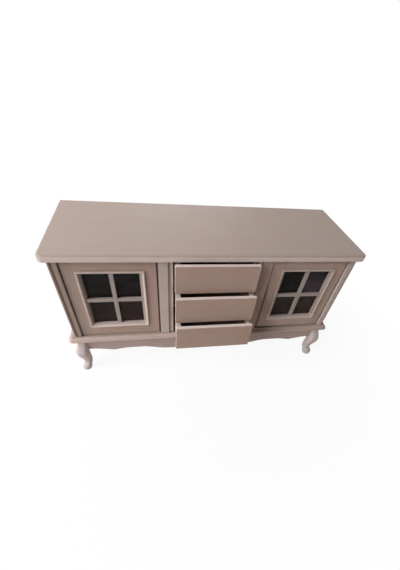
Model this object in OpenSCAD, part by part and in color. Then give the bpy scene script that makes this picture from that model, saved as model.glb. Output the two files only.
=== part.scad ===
// Miniature sideboard at one twelfth scale: two glazed doors either side of three drawers,
// on a base board with a moulded edge, shaped aprons and four cabriole legs.
// Millimetres, +Z up, +X to the viewer's right, the front faces -Y.
// The origin is on the floor, under the middle of the space that the piece takes up as it stands.

/* [Overall] */
// Width of the top board
top_w = 150; // [140:1:170]
// Depth of the top board, front to back
top_d = 51.8; // [46:0.2:60]
// Height from the floor to the upper face of the top board
total_h = 78; // [74:0.5:90]
// Height of the legs, up to the underside of the base board
leg_h = 24.4; // [22:0.2:27]

/* [Top board] */
// Thickness of the top board
top_t = 3.6; // [3.2:0.1:4.6]
// How far the top board stands out past each side panel
top_end_reach = 2.3; // [1.6:0.1:4]
// How far the top board stands out past the front of the panels
top_front_reach = 2.8; // [1.5:0.1:3]
// How far the top board stands out behind
top_back_reach = 0.6; // [0.2:0.1:2]
// Radius of its two front corners, seen from above
top_corner_r = 2.4; // [2:0.1:4]
// Radius of the round on its upper edge
top_upper_round = 1; // [0.6:0.1:1.4]
// Radius of the round on its lower edge
top_lower_round = 0.8; // [0.4:0.1:1.6]

/* [Base board] */
// Thickness of the base board
base_t = 3.2; // [3:0.1:4]
// How far the base board stands out past each side panel
base_end_reach = 3.2; // [2.8:0.1:4.5]
// How far the base board stands out past the front of the panels
base_front_reach = 2.6; // [2.6:0.1:3.6]
// Height of the round nose at the foot of its edge
base_nose_h = 1.6; // [1.2:0.1:1.6]
// Radius of the cove above the nose
base_cove_r = 1.3; // [0.8:0.1:1.4]
// How far the nose stands out past the cove
base_nose_step = 0.5; // [0.2:0.1:0.8]
// Radius of its two front corners, seen from above
base_corner_r = 2.2; // [2.2:0.1:4]

/* [Carcass] */
// Thickness of the side panels
side_t = 2.4; // [2:0.1:3]
// Clear width between the two partitions, where the drawers run
bay_w = 41; // [36:0.5:46]
// Thickness of the partitions
partition_t = 3; // [2.6:0.1:3.4]
// Thickness of the back panel
back_t = 1.6; // [1:0.1:2.4]
// Depth of the housings that hold the panels in the top and base boards
housing_depth = 0.6; // [0.4:0.1:1]
// Clearance on each face of a panel in its housing
housing_fit = 0.02; // [0.01:0.01:0.05]

/* [Stiles] */
// How far the stiles stand forward of the panels' front edges
stile_proud = 0.6; // [0.5:0.1:1]
// Width of each inner stile, between a door and the drawers
inner_stile_w = 5.2; // [4:0.1:6]
// How far an inner stile laps over the partition's front edge
inner_stile_lap = 1.2; // [0.8:0.1:2]
// Width of each outer stile
outer_stile_w = 2.5; // [2.1:0.1:3]
// How far an outer stile laps over the side panel's front edge
outer_stile_lap = 1.2; // [0.8:0.1:1.8]
// How far the stop lip reaches behind the door
stop_reach = 1.1; // [0.9:0.1:2]
// Thickness of the stop lip
stop_t = 0.9; // [0.6:0.1:1.5]
// Gap between the closed door and the stop lip
stop_gap = 0.15; // [0.1:0.05:0.4]

/* [Doors] */
// Thickness of the door frames
door_t = 2.6; // [2.4:0.1:3]
// How far the door faces lie behind the panels' front edges
door_setback = 0.2; // [0.1:0.1:0.6]
// Gap at each upright edge of a door
door_side_gap = 0.5; // [0.5:0.05:0.9]
// Gap above and below a door
door_end_gap = 0.5; // [0.4:0.05:0.8]
// Radius of the door's hinge-side front corner
door_edge_round = 0.8; // [0.8:0.1:1.1]
// From a door's upright edges to its window moulding
door_side_margin = 6.1; // [4:0.1:7]
// From a door's top edge to its window moulding
door_top_margin = 4.9; // [3.5:0.1:7]
// From a door's bottom edge to its window moulding
door_foot_margin = 7; // [3.5:0.1:8]
// Length of the stub tenons on the rails
tenon_len = 1.8; // [1:0.1:3]
// Thickness of the stub tenons
tenon_t = 0.9; // [0.6:0.1:1.2]
// Shoulder left above and below each tenon
tenon_shoulder = 1; // [0.6:0.1:1.4]
// Clearance on each face of a tenon
tenon_fit = 0.02; // [0.01:0.01:0.05]

/* [Windows] */
// Width of the window moulding
moulding_w = 1.8; // [1.4:0.1:3]
// How far the moulding's crest stands forward of the door face
moulding_proud = 0.9; // [0.6:0.1:1]
// Width of the crest along the moulding's outer edge
crest_w = 0.6; // [0.4:0.1:0.9]
// How far the moulding's inner lip laps inside the frame
lip_w = 0.5; // [0.3:0.1:1]
// Depth of the lip behind the door face
lip_depth = 1.2; // [0.8:0.1:1.4]
// Width of the glazing bars
bar_w = 1.9; // [1.5:0.1:3]
// How far the glazing bars stand forward of the door face
bar_proud = 0.1; // [0:0.1:0.4]
// Thickness of the glass
glass_t = 0.8; // [0.5:0.1:1]
// Clearance round the glass
glass_play = 0.1; // [0.05:0.05:0.2]

/* [Hinge pins] */
// Radius of the hinge pins
pin_r = 0.4; // [0.3:0.05:0.5]
// Running clearance round a pin in the top and base boards
pin_clearance = 0.04; // [0.02:0.01:0.08]
// Length of a pin inside the door
pin_in_door = 1.6; // [1.2:0.1:3]
// Length of a pin inside the top or base board
pin_in_board = 1.3; // [1:0.1:1.6]
// Depth left beyond the end of a pin in its board
pin_end_play = 0.15; // [0.1:0.05:0.3]

/* [Drawers] */
// How far the upper drawer stands open
upper_drawer_out = 5.2; // [0:0.1:20]
// How far the middle drawer stands open
middle_drawer_out = 9.3; // [0:0.1:20]
// How far the lower drawer stands open
lower_drawer_out = 13.3; // [0:0.1:20]
// Gap round each drawer front
front_gap = 0.55; // [0.4:0.05:0.8]
// Thickness of the drawer fronts
front_t = 2.2; // [1.5:0.1:2.6]
// From the top of a front down to the top of its sides
front_over_box = 1.5; // [1.2:0.1:3]
// From the bottom of a front up to the bottom of its sides
front_under_box = 1.6; // [1.4:0.1:3]
// Gap between a drawer side and the partition
box_side_play = 1.1; // [0.6:0.1:1.5]
// Gap between a closed drawer and the back panel
box_back_play = 1.6; // [1:0.1:4]
// Thickness of the drawer sides
drawer_side_t = 2.3; // [1.5:0.1:2.6]
// Thickness of the drawer backs
drawer_back_t = 1.8; // [1.2:0.1:2.6]
// Thickness of the drawer bottoms
drawer_bottom_t = 1; // [0.8:0.1:1.5]
// Depth of the groove that holds a drawer bottom
groove_depth = 0.6; // [0.4:0.1:0.8]
// Height of that groove above the bottom of the sides
groove_height = 0.8; // [0.6:0.1:1.5]
// Clearance of a drawer bottom in its groove
groove_fit = 0.03; // [0.02:0.01:0.06]

/* [Runners] */
// Width of the runners, out from the partition
runner_w = 2.2; // [1.8:0.1:3]
// Thickness of the upper and middle runners
runner_t = 1.2; // [0.8:0.1:1.4]
// Sliding gap between a runner and the drawer side on it
slide_gap = 0.12; // [0.08:0.02:0.2]
// How far the runners stop short of the drawer fronts
runner_front_gap = 0.6; // [0.3:0.1:2]

/* [Aprons] */
// Thickness of the aprons
apron_t = 2; // [1.5:0.1:2.5]
// How far the aprons lie behind the panels' front and end faces
apron_setback = 0.3; // [0.1:0.1:1]
// Gap between an apron's end and the inner face of the leg
apron_leg_fit = 0.05; // [0.03:0.01:0.1]
// Depth of the apron at the legs
apron_leg_depth = 8; // [6:0.1:10]
// Depth of the apron at its two small points
apron_point_depth = 10; // [8:0.1:11]
// Depth of the apron at the top of its arches
apron_arch_depth = 8.7; // [5:0.1:9.5]
// Depth of the apron in the middle
apron_middle_depth = 11; // [9:0.1:13]
// From the leg to the point on the front apron
apron_point_run = 14; // [10:0.5:18]
// From the point to the flat of the arch
apron_rise_run = 9; // [5:0.5:12]
// Length of the flat of the arch
apron_arch_run = 7; // [3:0.5:10]
// Length of the slope from the arch down to the middle
apron_fall_run = 14; // [8:0.5:16]
// Drop of the middle of the apron below its ends
apron_middle_bow = 0.5; // [0:0.1:1]
// Depth of the plain rail between the back legs
back_rail_depth = 6; // [4:0.1:9]

/* [Legs] */
// From the side panel's outer face to the middle of a leg's top
leg_end_inset = 2.3; // [0.5:0.1:4]
// From the front edge of the panels to the middle of a front leg's top
leg_front_inset = 1.5; // [1.1:0.1:4]
// How far the back legs' knees lie in front of the top board's back edge
leg_back_gap = 0.2; // [0:0.1:3]
// Size of a leg across its top
leg_top_size = 4.4; // [4:0.1:7]
// Size of a leg across its knee
leg_knee_size = 6.6; // [5.8:0.1:8.4]
// Size of a leg across its ankle
leg_ankle_size = 4.8; // [3.6:0.1:5.4]
// Size of a leg across its foot
leg_foot_size = 5.6; // [4.6:0.1:6.6]
// Size of a leg across its sole
leg_sole_size = 4.4; // [3.6:0.1:5.4]
// Height of the widest part of the knee
knee_z = 15; // [12:0.2:18]
// Height of the ankle
ankle_z = 6.4; // [5:0.2:9]
// Height of the widest part of the foot
foot_z = 2; // [1.2:0.1:3.5]
// How far the knee stands out towards the corner
knee_shift = 1.1; // [0:0.1:1.6]
// How far the ankle stands out towards the corner
ankle_shift = 0.1; // [-1:0.1:0.6]
// How far the foot stands out towards the corner
foot_shift = 1.4; // [0.4:0.1:2]

/* [Hidden] */

LEFT = -1;
RIGHT = 1;
$fn = 48;

// Paint and other finishes
frame_paint = "#b3a398";
panel_paint = "#94806f";
drawer_wood = "#c4b8ad";
glass_tint = "#26262a";
pin_steel = "#8c8c90";

// Carcass: widths from the middle, depths from the plane of the panels' front edges
carcass_w = top_w - 2 * top_end_reach;
carcass_d = top_d - top_front_reach - top_back_reach;
side_out = carcass_w / 2;
side_in = side_out - side_t;
part_in = bay_w / 2;
part_out = part_in + partition_t;
partition_d = carcass_d - back_t;
furthest_out = max(upper_drawer_out, middle_drawer_out, lower_drawer_out, base_front_reach);
front_y = (furthest_out - carcass_d - top_back_reach) / 2;
back_y = front_y + carcass_d;
base_top = leg_h + base_t;
top_under = total_h - top_t;
opening_h = top_under - base_top;

// Stiles
outer_stile_out = side_in + outer_stile_lap;
outer_stile_in = outer_stile_out - outer_stile_w;
inner_stile_in = part_out - inner_stile_lap;
inner_stile_out = inner_stile_in + inner_stile_w;
stile_back = door_setback + door_t;

// Doors: the right one is drawn and the left one is its mirror image
door_in = inner_stile_out + door_side_gap;
door_out = outer_stile_in - door_side_gap;
door_w = door_out - door_in;
door_z = base_top + door_end_gap;
door_h = opening_h - 2 * door_end_gap;
door_y = front_y + door_setback;
window_x = door_in + door_side_margin + moulding_w;
window_z = door_z + door_foot_margin + moulding_w;
window_w = door_w - 2 * (door_side_margin + moulding_w);
window_h = door_h - door_top_margin - door_foot_margin - 2 * moulding_w;
frame_x = window_x - lip_w;
frame_z = window_z - lip_w;
frame_w = window_w + 2 * lip_w;
frame_h = window_h + 2 * lip_w;
pin_x = door_out - door_t / 2;
pin_y = door_y + door_t / 2;

// Drawers: the levels are counted from the lowest
drawer_outs = [lower_drawer_out, middle_drawer_out, upper_drawer_out];
drawers = len(drawer_outs);
front_w = bay_w - 2 * front_gap;
front_h = (opening_h - (drawers + 1) * front_gap) / drawers;
box_w = bay_w - 2 * box_side_play;
box_h = front_h - front_over_box - front_under_box;
box_len = partition_d - box_back_play - front_t;
bottom_top = groove_height + drawer_bottom_t;

// Aprons and legs
leg_x = side_out - leg_end_inset;
leg_front_y = front_y + leg_front_inset;
leg_back_y = back_y + top_back_reach - leg_back_gap - knee_shift - leg_knee_size / 2;
leg_in = max(leg_top_size / 2, leg_knee_size / 2 - knee_shift);
apron_half = leg_x - leg_in - apron_leg_fit;
side_apron_half = (leg_back_y - leg_front_y) / 2 - leg_in - apron_leg_fit;
side_apron_y = (leg_back_y + leg_front_y) / 2;
apron_step = 0.7;
leg_rings = 26;
leg_sides = 28;
leg_top_power = 5;
leg_foot_power = 2.2;

function front_z(level) = base_top + front_gap + level * (front_h + front_gap);
function box_z(level) = front_z(level) + front_under_box;

// Smooth S from a to b as t goes from 0 to 1
function ease(a, b, t) = a + (b - a) * (1 - cos(180 * t)) / 2;
// Quarter wave from a, steep at first, to b
function swell(a, b, t) = a + (b - a) * sin(90 * t);

// Depth of an apron at a distance d in from its end, for an apron of half length half
function apron_depth(d, half) =
    let (
        arch_start = apron_point_run + apron_rise_run,
        fall_start = arch_start + apron_arch_run,
        fall_end = fall_start + apron_fall_run
    )
    d < apron_point_run
        ? swell(apron_point_depth, apron_leg_depth, 1 - d / apron_point_run)
        : d < arch_start
            ? swell(apron_point_depth, apron_arch_depth, (d - apron_point_run) / apron_rise_run)
            : d < fall_start
                ? apron_arch_depth
                : d < fall_end
                    ? ease(apron_arch_depth, apron_middle_depth, (d - fall_start) / apron_fall_run)
                    : apron_middle_depth
                        + apron_middle_bow * sin(90 * (d - fall_end) / (half - fall_end));

// Depth of a side apron: a small point near each leg and one long flat arch between them
function side_apron_depth(d) =
    d < apron_rise_run
        ? swell(apron_point_depth, apron_leg_depth, 1 - d / apron_rise_run)
        : d < 2 * apron_rise_run
            ? swell(apron_point_depth, apron_arch_depth, d / apron_rise_run - 1)
            : apron_arch_depth;

// Half width and outward shift of a leg at height z, smooth between top, knee, ankle, foot and sole
function leg_value(z, top, knee, ankle, foot, sole) =
    z > knee_z
        ? ease(knee, top, (z - knee_z) / (leg_h - knee_z))
        : z > ankle_z
            ? ease(ankle, knee, (z - ankle_z) / (knee_z - ankle_z))
            : z > foot_z
                ? ease(foot, ankle, (z - foot_z) / (ankle_z - foot_z))
                : swell(sole, foot, z / foot_z);
function leg_half(z) =
    leg_value(z, leg_top_size, leg_knee_size, leg_ankle_size, leg_foot_size, leg_sole_size) / 2;
function leg_shift(z) = leg_value(z, 0, knee_shift, ankle_shift, foot_shift, foot_shift);
function leg_power(z) = leg_foot_power + (leg_top_power - leg_foot_power) * pow(z / leg_h, 2);
// Reach of a rounded square of half width 1 in direction a
function square_reach(a, power) =
    1 / pow(pow(abs(cos(a)), power) + pow(abs(sin(a)), power), 1 / power);

module mirrored(side) {
    if (side == LEFT) mirror([1, 0, 0]) children();
    else children();
}

// A board from front_reach in front of the panels to its back edge, with the outline children()
// run along its front and both ends; r is the radius of its front corners
module moulded_board(w, d, h, r) {
    translate([r - w / 2, r, 0]) cube([w - 2 * r, d - r, h]);
    translate([w / 2 - r, r, 0]) rotate([90, 0, -90]) linear_extrude(w - 2 * r) children();
    translate([w / 2 - r, d, 0]) rotate([90, 0, 0]) linear_extrude(d - r) children();
    translate([r - w / 2, r, 0]) rotate([90, 0, 180]) linear_extrude(d - r) children();
    translate([w / 2 - r, r, 0]) rotate([0, 0, -90]) rotate_extrude(angle = 90) children();
    translate([r - w / 2, r, 0]) rotate([0, 0, 180]) rotate_extrude(angle = 90) children();
}

module top_edge() {
    intersection() {
        square([top_corner_r, top_t]);
        union() {
            square([top_corner_r - max(top_upper_round, top_lower_round), top_t]);
            translate([0, top_lower_round])
                square([top_corner_r, top_t - top_lower_round - top_upper_round]);
            square([top_corner_r - top_lower_round, top_lower_round]);
            translate([0, top_t - top_upper_round])
                square([top_corner_r - top_upper_round, top_upper_round]);
            translate([top_corner_r - top_lower_round, top_lower_round]) circle(top_lower_round);
            translate([top_corner_r - top_upper_round, top_t - top_upper_round])
                circle(top_upper_round);
        }
    }
}

module base_edge() {
    nose_r = base_nose_h / 2;
    square([base_corner_r - nose_r, base_nose_h]);
    translate([base_corner_r - nose_r, nose_r]) circle(nose_r);
    difference() {
        square([base_corner_r - base_nose_step, base_t]);
        translate([base_corner_r - base_nose_step, base_t]) circle(base_cove_r);
    }
}

// The ends of the side panels and partitions, as cut into the top and base boards
module panel_housings(z) {
    for (side = [LEFT, RIGHT])
        mirrored(side)
            for (panel = [[side_in, side_t, carcass_d], [part_in, partition_t, partition_d]])
                translate([panel[0] - housing_fit, front_y, z])
                    cube([panel[1] + 2 * housing_fit, panel[2], housing_depth]);
}

// Holes for the hinge pins, opening at height z and going up or down from there
module pin_holes(z, up) {
    depth = pin_in_board + pin_end_play;
    for (side = [LEFT, RIGHT])
        mirrored(side)
            translate([pin_x, pin_y, up ? z : z - depth])
                cylinder(h = depth, r = pin_r + pin_clearance);
}

module top_board() {
    color(frame_paint)
        difference() {
            translate([0, front_y - top_front_reach, top_under])
                moulded_board(top_w, top_d, top_t, top_corner_r) top_edge();
            panel_housings(top_under);
            pin_holes(top_under, true);
        }
}

module base_board() {
    color(frame_paint)
        difference() {
            translate([0, front_y - base_front_reach, leg_h])
                moulded_board(carcass_w + 2 * base_end_reach, carcass_d + base_front_reach,
                    base_t, base_corner_r) base_edge();
            panel_housings(base_top - housing_depth);
            pin_holes(base_top, false);
        }
}

module side_panel(side) {
    color(frame_paint)
        mirrored(side)
            translate([side_in, front_y, base_top - housing_depth])
                cube([side_t, carcass_d, opening_h + 2 * housing_depth]);
}

module partition(side) {
    color(frame_paint)
        mirrored(side)
            translate([part_in, front_y, base_top - housing_depth])
                cube([partition_t, partition_d, opening_h + 2 * housing_depth]);
}

module back_panel() {
    color(frame_paint)
        translate([-side_in, back_y - back_t, base_top])
            cube([2 * side_in, back_t, opening_h]);
}

// A post as thick as the door, lapped over the side panel's front edge
module outer_stile(side) {
    color(frame_paint)
        mirrored(side)
            translate([0, front_y, base_top]) {
                translate([outer_stile_in, -stile_proud, 0])
                    cube([outer_stile_w, stile_proud, opening_h]);
                translate([outer_stile_in, -stile_proud, 0])
                    cube([side_in - outer_stile_in, stile_proud + stile_back, opening_h]);
            }
}

// A rebated post, lapped over the partition's front edge, with the lip that the door closes on
module inner_stile(side) {
    lip_y = stile_back + stop_gap;
    color(frame_paint)
        mirrored(side)
            translate([0, front_y, base_top])
                linear_extrude(opening_h)
                    polygon([
                        [inner_stile_in, -stile_proud], [inner_stile_out, -stile_proud],
                        [inner_stile_out, lip_y], [inner_stile_out + stop_reach, lip_y],
                        [inner_stile_out + stop_reach, lip_y + stop_t], [part_out, lip_y + stop_t],
                        [part_out, 0], [inner_stile_in, 0]
                    ]);
}

// A strip on the partition that one drawer side slides on; the lowest one stands on the base board
module runner(side, level) {
    z_top = box_z(level) - slide_gap;
    z_foot = level == 0 ? base_top : z_top - runner_t;
    y = front_t + runner_front_gap;
    color(drawer_wood)
        mirrored(side)
            translate([part_in - runner_w, front_y + y, z_foot])
                cube([runner_w, partition_d - y, z_top - z_foot]);
}

// A shaped board of half length half hanging below z = 0, its lower edge at the depths given
module apron_board(half, depths) {
    steps = len(depths) - 1;
    right_edge = [for (i = [0 : steps]) [half * (1 - i / steps), -depths[i]]];
    left_edge = [for (i = [steps - 1 : -1 : 0]) [-half * (1 - i / steps), -depths[i]]];
    rotate([90, 0, 0])
        linear_extrude(apron_t, center = true)
            polygon(concat([[half, 0]], right_edge, left_edge, [[-half, 0]]));
}

module apron_front() {
    steps = ceil(apron_half / apron_step);
    color(frame_paint)
        translate([0, front_y + apron_setback + apron_t / 2, leg_h])
            apron_board(apron_half,
                [for (i = [0 : steps]) apron_depth(apron_half * i / steps, apron_half)]);
}

module apron_end(side) {
    steps = ceil(side_apron_half / apron_step);
    color(frame_paint)
        mirrored(side)
            translate([side_out - apron_setback - apron_t / 2, side_apron_y, leg_h])
                rotate([0, 0, 90])
                    apron_board(side_apron_half,
                        [for (i = [0 : steps]) side_apron_depth(side_apron_half * i / steps)]);
}

module back_rail() {
    color(frame_paint)
        translate([-apron_half, leg_back_y - apron_t / 2, leg_h - back_rail_depth])
            cube([2 * apron_half, apron_t, back_rail_depth]);
}

// A cabriole leg: rounded square sections stacked along a line that swings out at the knee,
// in at the ankle and out again at the foot
module cabriole_leg(side, y, forward) {
    rings = [for (i = [0 : leg_rings]) leg_h * i / leg_rings];
    points = [
        for (z = rings)
            for (j = [0 : leg_sides - 1])
                let (
                    a = 360 * j / leg_sides,
                    reach = leg_half(z) * square_reach(a, leg_power(z))
                )
                [reach * cos(a) + leg_shift(z), reach * sin(a) - leg_shift(z), z]
    ];
    walls = [
        for (i = [0 : leg_rings - 1])
            for (j = [0 : leg_sides - 1])
                let (k = (j + 1) % leg_sides, low = i * leg_sides, high = low + leg_sides)
                [low + j, high + j, high + k, low + k]
    ];
    sole = [for (j = [0 : leg_sides - 1]) j];
    crown = [for (j = [leg_sides - 1 : -1 : 0]) leg_rings * leg_sides + j];
    color(frame_paint)
        mirrored(side)
            translate([leg_x, y, 0])
                mirror([0, forward ? 0 : 1, 0])
                    polyhedron(points = points, faces = concat([sole], walls, [crown]));
}

// The mortise or the tenon of a rail's end; grow is the clearance cut round the tenon
module tenon(z, h, grow) {
    y = door_y + (door_t - tenon_t) / 2 - grow;
    for (x = [frame_x - tenon_len, frame_x + frame_w])
        translate([x, y, z + tenon_shoulder - grow])
            cube([tenon_len, tenon_t + 2 * grow, h - 2 * tenon_shoulder + 2 * grow]);
}

function top_rail_z() = frame_z + frame_h;
function top_rail_h() = door_z + door_h - top_rail_z();
function bottom_rail_h() = frame_z - door_z;

module door_mortises() {
    tenon(top_rail_z(), top_rail_h(), tenon_fit);
    tenon(door_z, bottom_rail_h(), tenon_fit);
}

module door_outer_stile(side) {
    x = frame_x + frame_w;
    color(panel_paint)
        mirrored(side)
            difference() {
                union() {
                    translate([x, door_y, door_z])
                        cube([door_out - door_edge_round - x, door_t, door_h]);
                    translate([door_out - door_edge_round, door_y + door_edge_round, door_z])
                        cube([door_edge_round, door_t - door_edge_round, door_h]);
                    translate([door_out - door_edge_round, door_y + door_edge_round, door_z])
                        cylinder(h = door_h, r = door_edge_round);
                }
                door_mortises();
                for (z = [door_z, door_z + door_h - pin_in_door])
                    translate([pin_x, pin_y, z]) cylinder(h = pin_in_door, r = pin_r);
            }
}

module door_inner_stile(side) {
    color(panel_paint)
        mirrored(side)
            difference() {
                translate([door_in, door_y, door_z]) cube([frame_x - door_in, door_t, door_h]);
                door_mortises();
            }
}

module door_rail(side, z, h) {
    color(panel_paint)
        mirrored(side) {
            translate([frame_x, door_y, z]) cube([frame_w, door_t, h]);
            tenon(z, h, 0);
        }
}

// Section of the window moulding: x out from the window's edge, y forward of the door face
module moulding_section() {
    crest_r = crest_w / 2;
    difference() {
        polygon([
            [0, -lip_depth], [lip_w, -lip_depth], [lip_w, 0], [moulding_w, 0],
            [moulding_w, moulding_proud - crest_r], [moulding_w - crest_r, moulding_proud],
            [moulding_w - crest_w, moulding_proud - crest_r / 2], [0, bar_proud]
        ]);
        // hollow of the slope between the crest and the window
        translate([moulding_w / 2, moulding_proud + moulding_w])
            circle(r = moulding_w + moulding_proud / 3, $fn = 96);
    }
    intersection() {
        translate([moulding_w - crest_r, moulding_proud - crest_r]) circle(crest_r);
        translate([0, 0]) square([moulding_w, moulding_proud]);
    }
}

// One mitred length of moulding along +X, its window edge on the X axis
module moulding_length(len) {
    intersection() {
        rotate([90, 0, 90])
            translate([0, 0, -moulding_w])
                linear_extrude(len + 2 * moulding_w) moulding_section();
        translate([0, 0, -lip_depth])
            linear_extrude(lip_depth + moulding_proud)
                polygon([
                    [0, 0], [len, 0], [len + moulding_w, moulding_w], [-moulding_w, moulding_w]
                ]);
    }
}

module window_moulding(side) {
    color(frame_paint)
        mirrored(side)
            translate([window_x + window_w / 2, door_y, window_z + window_h / 2])
                rotate([90, 0, 0])
                    for (turn = [0 : 3]) {
                        len = turn % 2 == 0 ? window_w : window_h;
                        across = turn % 2 == 0 ? window_h : window_w;
                        rotate([0, 0, 90 * turn])
                            translate([-len / 2, across / 2, 0]) moulding_length(len);
                    }
}

module glazing_bars(side) {
    color(frame_paint)
        mirrored(side)
            translate([window_x, door_y - bar_proud, window_z]) {
                translate([(window_w - bar_w) / 2, 0, 0])
                    cube([bar_w, bar_proud + lip_depth, window_h]);
                translate([0, 0, (window_h - bar_w) / 2])
                    cube([window_w, bar_proud + lip_depth, bar_w]);
            }
}

module glass(side) {
    color(glass_tint)
        mirrored(side)
            translate([frame_x + glass_play, door_y + lip_depth, frame_z + glass_play])
                cube([frame_w - 2 * glass_play, glass_t, frame_h - 2 * glass_play]);
}

module hinge_pins(side) {
    length = pin_in_door + door_end_gap + pin_in_board;
    color(pin_steel)
        mirrored(side)
            for (z = [base_top - pin_in_board, top_under + pin_in_board - length])
                translate([pin_x, pin_y, z]) cylinder(h = length, r = pin_r);
}

// Puts a piece drawn at a drawer's closed place, its front face at y = 0, where the drawer stands
module on_drawer(level, z) {
    translate([0, front_y - drawer_outs[level], z]) children();
}

module drawer_bottom_board(level, grow) {
    half = box_w / 2 - drawer_side_t + groove_depth - groove_fit + grow;
    y = front_t - groove_depth + groove_fit - grow;
    on_drawer(level, box_z(level) + groove_height - grow)
        translate([-half, y, 0])
            cube([2 * half, front_t + box_len - y, drawer_bottom_t + 2 * grow]);
}

module drawer_front(level) {
    color(panel_paint)
        difference() {
            on_drawer(level, front_z(level))
                translate([-front_w / 2, 0, 0]) cube([front_w, front_t, front_h]);
            drawer_bottom_board(level, groove_fit);
        }
}

module drawer_side(level, side) {
    color(drawer_wood)
        difference() {
            on_drawer(level, box_z(level))
                mirrored(side)
                    translate([box_w / 2 - drawer_side_t, front_t, 0])
                        cube([drawer_side_t, box_len, box_h]);
            drawer_bottom_board(level, groove_fit);
        }
}

module drawer_back(level) {
    inner_w = box_w - 2 * drawer_side_t;
    color(drawer_wood)
        on_drawer(level, box_z(level) + bottom_top + groove_fit)
            translate([-inner_w / 2, front_t + box_len - drawer_back_t, 0])
                cube([inner_w, drawer_back_t, box_h - bottom_top - groove_fit]);
}

module drawer_bottom(level) {
    color(drawer_wood) drawer_bottom_board(level, 0);
}

top_board();
base_board();
side_panel(LEFT);  // side_panel_left
side_panel(RIGHT);  // side_panel_right
partition(LEFT);  // partition_left
partition(RIGHT);  // partition_right
back_panel();
outer_stile(LEFT);  // outer_stile_left
outer_stile(RIGHT);  // outer_stile_right
inner_stile(LEFT);  // inner_stile_left
inner_stile(RIGHT);  // inner_stile_right
runner(LEFT, 2);  // runner_left_upper
runner(LEFT, 1);  // runner_left_middle
runner(LEFT, 0);  // runner_left_lower
runner(RIGHT, 2);  // runner_right_upper
runner(RIGHT, 1);  // runner_right_middle
runner(RIGHT, 0);  // runner_right_lower
apron_front();
apron_end(LEFT);  // apron_left
apron_end(RIGHT);  // apron_right
back_rail();
cabriole_leg(LEFT, leg_front_y, true);  // leg_front_left
cabriole_leg(RIGHT, leg_front_y, true);  // leg_front_right
cabriole_leg(LEFT, leg_back_y, false);  // leg_back_left
cabriole_leg(RIGHT, leg_back_y, false);  // leg_back_right
door_outer_stile(LEFT);  // door_left_outer_stile
door_inner_stile(LEFT);  // door_left_inner_stile
door_rail(LEFT, top_rail_z(), top_rail_h());  // door_left_top_rail
door_rail(LEFT, door_z, bottom_rail_h());  // door_left_bottom_rail
window_moulding(LEFT);  // window_moulding_left
glazing_bars(LEFT);  // glazing_bars_left
glass(LEFT);  // glass_left
hinge_pins(LEFT);  // hinge_pins_left
door_outer_stile(RIGHT);  // door_right_outer_stile
door_inner_stile(RIGHT);  // door_right_inner_stile
door_rail(RIGHT, top_rail_z(), top_rail_h());  // door_right_top_rail
door_rail(RIGHT, door_z, bottom_rail_h());  // door_right_bottom_rail
window_moulding(RIGHT);  // window_moulding_right
glazing_bars(RIGHT);  // glazing_bars_right
glass(RIGHT);  // glass_right
hinge_pins(RIGHT);  // hinge_pins_right
drawer_front(2);  // upper_drawer_front
drawer_side(2, LEFT);  // upper_drawer_side_left
drawer_side(2, RIGHT);  // upper_drawer_side_right
drawer_back(2);  // upper_drawer_back
drawer_bottom(2);  // upper_drawer_bottom
drawer_front(1);  // middle_drawer_front
drawer_side(1, LEFT);  // middle_drawer_side_left
drawer_side(1, RIGHT);  // middle_drawer_side_right
drawer_back(1);  // middle_drawer_back
drawer_bottom(1);  // middle_drawer_bottom
drawer_front(0);  // lower_drawer_front
drawer_side(0, LEFT);  // lower_drawer_side_left
drawer_side(0, RIGHT);  // lower_drawer_side_right
drawer_back(0);  // lower_drawer_back
drawer_bottom(0);  // lower_drawer_bottom
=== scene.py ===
"""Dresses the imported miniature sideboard: painted boards, carved legs, glazed doors and drawers.

It stands on a pale stage.
"""

import math

import bmesh
import bpy
from bpy.props import FloatProperty, FloatVectorProperty, PointerProperty
from mathutils import Matrix, Vector


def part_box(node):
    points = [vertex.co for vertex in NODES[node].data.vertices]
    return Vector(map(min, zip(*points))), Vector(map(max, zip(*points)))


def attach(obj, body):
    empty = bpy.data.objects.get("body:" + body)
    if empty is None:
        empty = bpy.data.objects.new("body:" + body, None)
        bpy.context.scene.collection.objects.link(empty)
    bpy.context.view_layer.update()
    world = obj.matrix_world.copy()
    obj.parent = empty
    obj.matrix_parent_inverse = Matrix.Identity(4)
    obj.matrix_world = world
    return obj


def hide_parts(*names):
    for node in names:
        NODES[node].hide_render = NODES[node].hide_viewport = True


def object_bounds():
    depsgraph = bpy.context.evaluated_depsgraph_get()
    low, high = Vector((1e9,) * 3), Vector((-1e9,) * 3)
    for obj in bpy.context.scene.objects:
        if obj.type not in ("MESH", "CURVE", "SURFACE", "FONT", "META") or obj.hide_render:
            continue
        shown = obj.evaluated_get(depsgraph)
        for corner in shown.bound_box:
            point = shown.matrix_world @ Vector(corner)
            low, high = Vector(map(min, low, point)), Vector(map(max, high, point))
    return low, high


bl_info = {
    "name": "Miniature sideboard",
    "version": (1, 0, 0),
    "blender": (4, 5, 0),
    "location": "3D View > Sidebar > Sideboard",
    "description": "Paints and finishes a dolls' house sideboard round its packed frame",
    "category": "Object",
}

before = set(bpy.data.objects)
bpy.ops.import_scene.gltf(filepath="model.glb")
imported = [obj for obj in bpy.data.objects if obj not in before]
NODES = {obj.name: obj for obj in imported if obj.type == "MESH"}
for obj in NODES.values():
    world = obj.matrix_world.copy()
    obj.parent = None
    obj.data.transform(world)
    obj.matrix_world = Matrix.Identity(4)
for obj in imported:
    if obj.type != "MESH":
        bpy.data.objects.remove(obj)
CAD_BOX = [list(corner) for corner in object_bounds()]
MM = 0.001
SIDES = ("left", "right")
DRAWERS = ("upper", "middle", "lower")
# tilt, roll and pan of the camera, in degrees
CAMERA_TURN = (42.32, -6.11, -9.73)
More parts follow.
